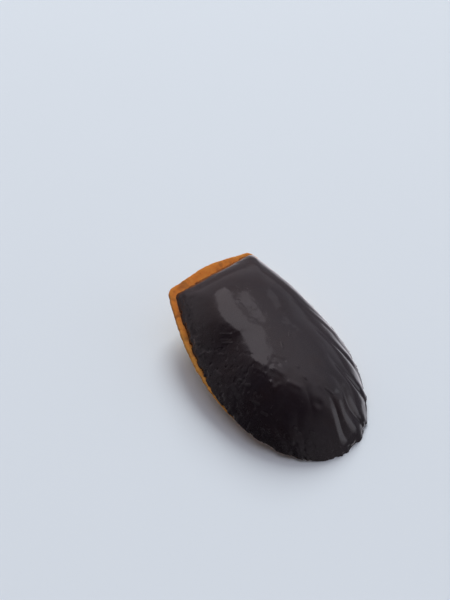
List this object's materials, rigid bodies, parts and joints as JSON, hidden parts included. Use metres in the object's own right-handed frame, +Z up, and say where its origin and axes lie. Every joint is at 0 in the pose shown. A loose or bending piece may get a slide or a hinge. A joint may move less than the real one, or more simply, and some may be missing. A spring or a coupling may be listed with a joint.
{
  "type": "madeleine cake",
  "caption": "Golden sponge cake in the form of a scallop, with a baked hump underneath, set in a fluted case of dark chocolate.",
  "frame": {"origin": "on the surface that the cake lies on, under the middle of its bounding box", "axes": "+X along the cake from the narrow end towards the wide, scalloped end, +Y to its side, +Z up"},
  "size_m": [0.0808, 0.0484, 0.0245],
  "materials": {
    "dark_chocolate": "dark chocolate with a soft gloss, cast in a mould and lightly scuffed",
    "sponge_crust": "baked sponge, pale yellow on the hump and orange brown at the rim"
  },
  "bodies": {
    "root": {"chocolate_shell": "dark_chocolate", "sponge": "sponge_crust"}
  },
  "joints": []
}
